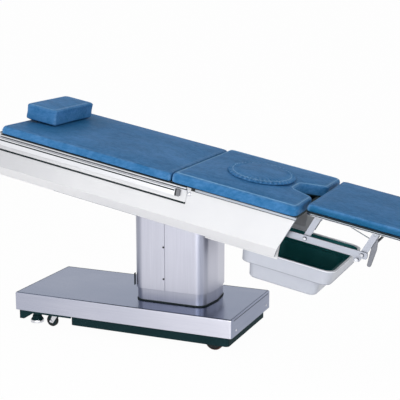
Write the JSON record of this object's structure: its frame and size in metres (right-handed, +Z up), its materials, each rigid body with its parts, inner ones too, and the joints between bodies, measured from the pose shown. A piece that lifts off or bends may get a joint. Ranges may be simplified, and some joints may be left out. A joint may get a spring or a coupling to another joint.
{
  "type": "gynecological operating table",
  "caption": "Gynecological operating table on a rising column, with a tilting top, hinged back, cut-out seat, link-borne leg section and a sliding drain basin.",
  "frame": {"origin": "on the floor under the middle of the table's overall length and width", "axes": "+X towards the foot end, +Y towards the patient's left, +Z up"},
  "size_m": [1.8306, 0.574, 0.8734],
  "materials": {
    "brushed_steel": "fine brushed stainless sheet",
    "bright_steel": "bright plated steel",
    "satin_aluminium": "satin aluminium",
    "light_grey_paint": "smooth light grey enamel",
    "dark_paint": "dark green-black enamel",
    "cast_ballast": "dark painted casting",
    "black_plastic": "matt black moulding",
    "black_rubber": "matt rubber",
    "blue_vinyl": "blue leather-grain vinyl over foam",
    "grey_basin": "smooth light grey moulding"
  },
  "bodies": {
    "base": {"base_cover": "brushed_steel", "bed_plate": "dark_paint", "counterweight": "cast_ballast", "column_sleeve": "brushed_steel", "column_gasket": "black_rubber", "lift_cylinder": "dark_paint"},
    "foot_right": {"levelling_foot_right": "bright_steel"},
    "foot_left": {"levelling_foot_left": "bright_steel"},
    "caster_right": {"caster_fork_right": "bright_steel"},
    "caster_left": {"caster_fork_left": "bright_steel"},
    "caster_roller_right": {"caster_wheel_right": "black_rubber"},
    "caster_roller_left": {"caster_wheel_left": "black_rubber"},
    "roller_right": {"fixed_wheel_right": "black_rubber"},
    "roller_left": {"fixed_wheel_left": "black_rubber"},
    "column": {"column_cover_foot": "brushed_steel", "column_cover_head": "brushed_steel", "column_head": "dark_paint", "tilt_gearbox": "dark_paint", "tilt_motor": "black_plastic", "lift_rod": "bright_steel"},
    "table": {"tilt_shaft": "bright_steel", "frame_beam_right": "dark_paint", "frame_beam_left": "dark_paint", "head_cross_member": "dark_paint", "back_cross_member": "dark_paint", "seat_cross_member": "dark_paint", "foot_cross_member": "dark_paint", "side_cover_right": "light_grey_paint", "side_cover_left": "light_grey_paint", "head_cover": "light_grey_paint", "seat_deck": "dark_paint", "seat_mattress": "blue_vinyl", "seat_pad": "blue_vinyl", "seat_trim_right": "bright_steel", "seat_trim_left": "bright_steel", "basin_runner_right": "bright_steel", "basin_runner_left": "bright_steel"},
    "back": {"back_deck": "dark_paint", "back_skirt_right": "light_grey_paint", "back_skirt_left": "light_grey_paint", "back_rail_right": "bright_steel", "back_rail_left": "bright_steel", "back_mattress": "blue_vinyl", "pillow": "blue_vinyl"},
    "carriage": {"leg_bar_right": "satin_aluminium", "leg_bar_left": "satin_aluminium", "carriage_tie": "satin_aluminium"},
    "knob_right": {"lock_knob_right": "bright_steel"},
    "knob_left": {"lock_knob_left": "bright_steel"},
    "rear_links": {"rear_link_right": "satin_aluminium", "rear_link_left": "satin_aluminium"},
    "front_links": {"front_link_right": "satin_aluminium", "front_link_left": "satin_aluminium"},
    "leg_section": {"leg_frame": "satin_aluminium", "leg_mattress": "blue_vinyl"},
    "handle": {"release_handle": "satin_aluminium"},
    "latch": {"latch_rod_right": "bright_steel", "latch_rod_left": "bright_steel"},
    "drain_basin": {"basin": "grey_basin"}
  },
  "joints": [
    {"name": "column_lift", "type": "slide", "parent": "base", "child": "column", "axis": [0, 0, 1], "range_m": [-0.04, 0.2]},
    {"name": "table_tilt", "type": "hinge", "parent": "column", "child": "table", "pos_m": [-0.24543, 0, 0.595], "axis": [0, 1, 0], "range_deg": [-35.8, 9.2]},
    {"name": "back_raise", "type": "hinge", "parent": "table", "child": "back", "pos_m": [-0.15988, 0, 0.6699], "axis": [0, 1, 0], "range_deg": [0, 60]},
    {"name": "leg_slide", "type": "slide", "parent": "table", "child": "carriage", "axis": [0.9823, 0, -0.1874], "range_m": [0, 0.1]},
    {"name": "leg_lower", "type": "hinge", "parent": "carriage", "child": "rear_links", "pos_m": [0.31955, 0, 0.47216], "axis": [0, 1, 0], "range_deg": [0, 60]},
    {"name": "leg_level", "type": "hinge", "parent": "rear_links", "child": "leg_section", "pos_m": [0.36171, 0, 0.54458], "axis": [0, 1, 0], "range_deg": [-60, 0]},
    {"name": "front_link_turn", "type": "hinge", "parent": "carriage", "child": "front_links", "pos_m": [0.52191, 0, 0.43356], "axis": [0, 1, 0], "range_deg": [0, 60]},
    {"name": "handle_squeeze", "type": "hinge", "parent": "leg_section", "child": "handle", "pos_m": [0.56406, 0, 0.50598], "axis": [0, -1, 0], "range_deg": [0, 12], "stiffness_Nm_per_rad": 2, "springref_deg": -5.73},
    {"name": "latch_pull", "type": "slide", "parent": "leg_section", "child": "latch", "axis": [0.8888, 0, -0.4582], "range_m": [0, 0.0064]},
    {"name": "basin_slide", "type": "slide", "parent": "table", "child": "drain_basin", "axis": [0.9823, 0, -0.1874], "range_m": [-0.15, 0.05]},
    {"name": "knob_pull_right", "type": "slide", "parent": "carriage", "child": "knob_right", "axis": [0, -1, 0], "range_m": [0, 0.006], "stiffness_N_per_m": 200, "springref_m": -0.01},
    {"name": "foot_screw_right", "type": "slide", "parent": "base", "child": "foot_right", "axis": [0, 0, 1], "range_m": [0, 0.02]},
    {"name": "caster_swivel_right", "type": "hinge", "parent": "base", "child": "caster_right", "pos_m": [-0.71043, -0.168, 0], "axis": [0, 0, 1], "continuous": true},
    {"name": "caster_roll_right", "type": "hinge", "parent": "caster_right", "child": "caster_roller_right", "pos_m": [-0.73043, -0.168, 0.025], "axis": [0, 1, 0], "continuous": true},
    {"name": "wheel_roll_right", "type": "hinge", "parent": "base", "child": "roller_right", "pos_m": [-0.03843, -0.166, 0.036], "axis": [0, 1, 0], "continuous": true},
    {"name": "knob_pull_left", "type": "slide", "parent": "carriage", "child": "knob_left", "axis": [0, 1, 0], "range_m": [0, 0.006], "stiffness_N_per_m": 200, "springref_m": -0.01},
    {"name": "foot_screw_left", "type": "slide", "parent": "base", "child": "foot_left", "axis": [0, 0, 1], "range_m": [0, 0.02]},
    {"name": "caster_swivel_left", "type": "hinge", "parent": "base", "child": "caster_left", "pos_m": [-0.71043, 0.168, 0], "axis": [0, 0, 1], "continuous": true},
    {"name": "caster_roll_left", "type": "hinge", "parent": "caster_left", "child": "caster_roller_left", "pos_m": [-0.73043, 0.168, 0.025], "axis": [0, 1, 0], "continuous": true},
    {"name": "wheel_roll_left", "type": "hinge", "parent": "base", "child": "roller_left", "pos_m": [-0.03843, 0.166, 0.036], "axis": [0, 1, 0], "continuous": true}
  ],
  "couplings": [
    {"joint": "leg_level", "follows": "leg_lower", "ratio": -1},
    {"joint": "front_link_turn", "follows": "leg_lower", "ratio": 1},
    {"joint": "latch_pull", "follows": "handle_squeeze", "m_per_rad": 0.03}
  ]
}
